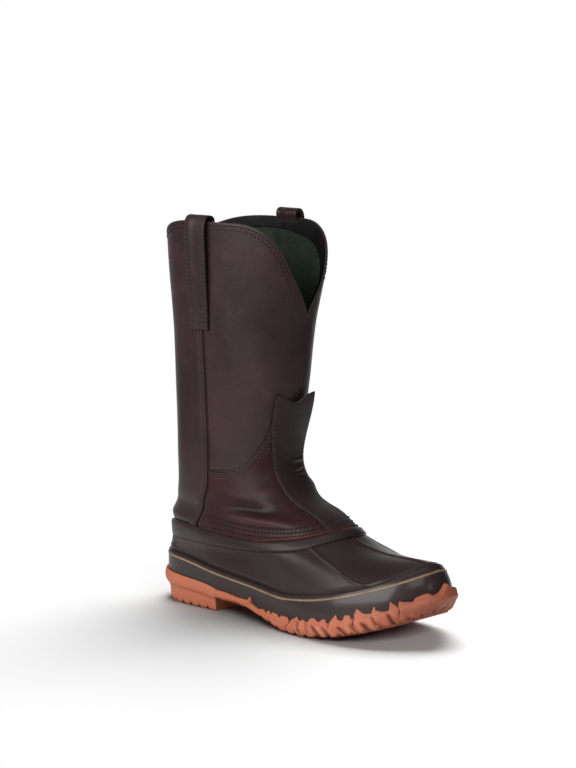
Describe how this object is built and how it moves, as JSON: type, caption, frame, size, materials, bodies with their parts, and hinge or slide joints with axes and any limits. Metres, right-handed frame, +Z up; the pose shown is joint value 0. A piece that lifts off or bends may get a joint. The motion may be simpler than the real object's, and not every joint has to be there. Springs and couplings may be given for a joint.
{
  "type": "pac boot",
  "caption": "Pull-on pac boot for the right foot: dark rubber bottom on a chain-tread sole, tall leather shaft with a notched collar and pull straps.",
  "frame": {"origin": "middle of the boot's footprint box, on the floor", "axes": "+X towards the toe, -Y towards the outer side of the foot, +Z up along the shaft"},
  "size_m": [0.3126, 0.1226, 0.3498],
  "materials": {
    "sole_rubber": "matt brick-orange rubber",
    "shell_rubber": "satin dark brown rubber",
    "stripe_rubber": "satin tan rubber",
    "welt_rubber": "satin dark red rubber",
    "footbed_felt": "dark green felt",
    "shaft_leather": "oiled burgundy-brown leather",
    "strap_leather": "oiled burgundy-brown leather"
  },
  "bodies": {
    "root": {"outsole": "sole_rubber", "rubber_shell": "shell_rubber", "foxing_stripe": "stripe_rubber", "red_welt": "welt_rubber", "insole": "footbed_felt", "shaft": "shaft_leather", "vamp_panel": "shaft_leather", "instep_strip": "shaft_leather", "side_piping_outer": "shaft_leather", "side_piping_inner": "shaft_leather", "pull_strap_outer": "strap_leather", "pull_strap_inner": "strap_leather"}
  },
  "joints": []
}
